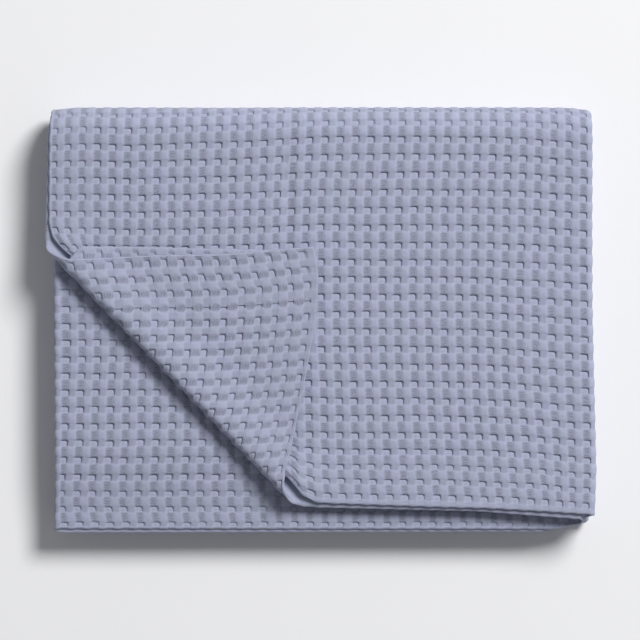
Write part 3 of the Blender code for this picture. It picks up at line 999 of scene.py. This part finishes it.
class BLANKET_PG_cloth(bpy.types.PropertyGroup):
    """Sizes and colours of the cloth"""

    pocket_depth: FloatProperty(
        name="Pocket depth", description="Of a pocket's floor below the middle of the cloth",
        default=0.0015, min=0.0, max=0.0015, unit="LENGTH", subtype="DISTANCE",
    )
    floor_bulge: FloatProperty(
        name="Floor bulge", description="Depth of a pocket's middle, as a share of the depth at its rim",
        default=0.35, min=0.0, max=1.0, subtype="FACTOR",
    )
    ladder_height: FloatProperty(
        name="Ladder height", description="Of the threads between one pocket and the next in its column",
        default=0.00005, min=-0.0008, max=0.0008, unit="LENGTH", subtype="DISTANCE",
    )
    band_height: FloatProperty(
        name="Band height", description="Of the cloth beside a pocket",
        default=0.00012, min=-0.0008, max=0.0008, unit="LENGTH", subtype="DISTANCE",
    )
    pillow_height: FloatProperty(
        name="Pillow height", description="Of the raised squares between four pockets",
        default=0.0008, min=0.0, max=0.00085, unit="LENGTH", subtype="DISTANCE",
    )
    yarn_height: FloatProperty(
        name="Yarn height", description="Half the thickness of the yarn",
        default=0.00045, min=0.0001, max=0.0006, unit="LENGTH", subtype="DISTANCE",
    )
    edge_radius: FloatProperty(
        name="Edge radius", description="Of the rounded edge of the hem",
        default=0.0012, min=0.0004, max=0.0014, unit="LENGTH", subtype="DISTANCE",
    )
    thread_relief: FloatProperty(
        name="Thread relief", description="Height of the single threads",
        default=0.0003, min=0.0, max=0.001, unit="LENGTH", subtype="DISTANCE",
    )
    unevenness: FloatProperty(
        name="Unevenness", description="How far rows and columns wander",
        default=0.0004, min=0.0, max=0.002, unit="LENGTH", subtype="DISTANCE",
    )
    colour_cool: FloatVectorProperty(
        name="Cool colour", description="Of the bluer parts of the dye",
        default=(0.358, 0.385, 0.504), size=3, min=0.0, max=1.0, subtype="COLOR",
    )
    colour_warm: FloatVectorProperty(
        name="Warm colour", description="Of the more lavender parts of the dye",
        default=(0.369, 0.385, 0.516), size=3, min=0.0, max=1.0, subtype="COLOR",
    )


class BLANKET_PG_stage(bpy.types.PropertyGroup):
    """Floor, lamp and surrounding light"""

    key_power: FloatProperty(
        name="Lamp power", description="Of the main lamp", default=352.0, min=0.0, unit="POWER"
    )
    key_size: FloatProperty(
        name="Lamp size", description="Diameter of the main lamp",
        default=2.4, min=0.05, unit="LENGTH", subtype="DISTANCE",
    )
    key_distance: FloatProperty(
        name="Lamp distance", description="Of the main lamp from the blanket",
        default=6.0, min=0.5, unit="LENGTH", subtype="DISTANCE",
    )
    key_elevation: FloatProperty(
        name="Lamp elevation", description="Of the main lamp over the floor",
        default=math.radians(47), unit="ROTATION", subtype="ANGLE",
    )
    key_azimuth: FloatProperty(
        name="Lamp azimuth", description="Of the main lamp, from +X towards +Y",
        default=math.radians(48), unit="ROTATION", subtype="ANGLE",
    )
    fill_strength: FloatProperty(
        name="Fill strength", description="Of the light from all round",
        default=0.22, min=0.0, subtype="FACTOR",
    )
    fill_colour: FloatVectorProperty(
        name="Fill colour", description="Of the light from all round",
        default=(0.97, 0.98, 1.0), size=3, min=0.0, max=1.0, subtype="COLOR",
    )
    floor_colour: FloatVectorProperty(
        name="Floor colour", description="Of the floor",
        default=(0.93, 0.93, 0.94), size=3, min=0.0, max=1.0, subtype="COLOR",
    )


class BLANKET_OT_top_ply(bpy.types.Operator):
    """Makes the uppermost ply, with its corner turned back"""

    bl_idname = "blanket.top_ply"
    bl_label = "Uppermost ply"

    def execute(self, context):
        add_piece(context, "blanket_top_ply_left")
        add_piece(context, "blanket_top_ply_right")
        return {"FINISHED"}


class BLANKET_OT_top_section(bpy.types.Operator):
    """Makes the rest of the top section: the lower three plies"""

    bl_idname = "blanket.top_section"
    bl_label = "Top section"

    def execute(self, context):
        add_piece(context, "blanket_top_section")
        return {"FINISHED"}


class BLANKET_OT_lower_sections(bpy.types.Operator):
    """Makes the sections below the top one"""

    bl_idname = "blanket.lower_sections"
    bl_label = "Lower sections"

    def execute(self, context):
        add_piece(context, "blanket_inner_sections")
        add_piece(context, "blanket_bottom_section")
        return {"FINISHED"}


class BLANKET_OT_stage(bpy.types.Operator):
    """Makes the floor, lamp, surrounding light and camera"""

    bl_idname = "blanket.stage"
    bl_label = "Stage"

    def execute(self, context):
        add_stage(context)
        return {"FINISHED"}


class BLANKET_PT_panel(bpy.types.Panel):
    """Lists the pieces of the blanket"""

    bl_idname = "BLANKET_PT_panel"
    bl_label = "Waffle weave blanket"
    bl_space_type = "VIEW_3D"
    bl_region_type = "UI"
    bl_category = "Blanket"

    def draw(self, context):
        for operator in OPERATORS:
            self.layout.operator(operator.bl_idname)
        for settings in (context.scene.blanket_cloth, context.scene.blanket_stage):
            for name in settings.__annotations__:
                self.layout.prop(settings, name)


OPERATORS = (BLANKET_OT_top_ply, BLANKET_OT_top_section, BLANKET_OT_lower_sections, BLANKET_OT_stage)
CLASSES = (BLANKET_PG_cloth, BLANKET_PG_stage, *OPERATORS, BLANKET_PT_panel)


def register():
    for cls in CLASSES:
        bpy.utils.register_class(cls)
    bpy.types.Scene.blanket_cloth = PointerProperty(type=BLANKET_PG_cloth)
    bpy.types.Scene.blanket_stage = PointerProperty(type=BLANKET_PG_stage)


def unregister():
    del bpy.types.Scene.blanket_stage
    del bpy.types.Scene.blanket_cloth
    for cls in reversed(CLASSES):
        bpy.utils.unregister_class(cls)


def main():
    register()
    bpy.ops.blanket.top_ply()
    bpy.ops.blanket.top_section()
    bpy.ops.blanket.lower_sections()
    bpy.ops.blanket.stage()


if __name__ == "__main__":
    main()
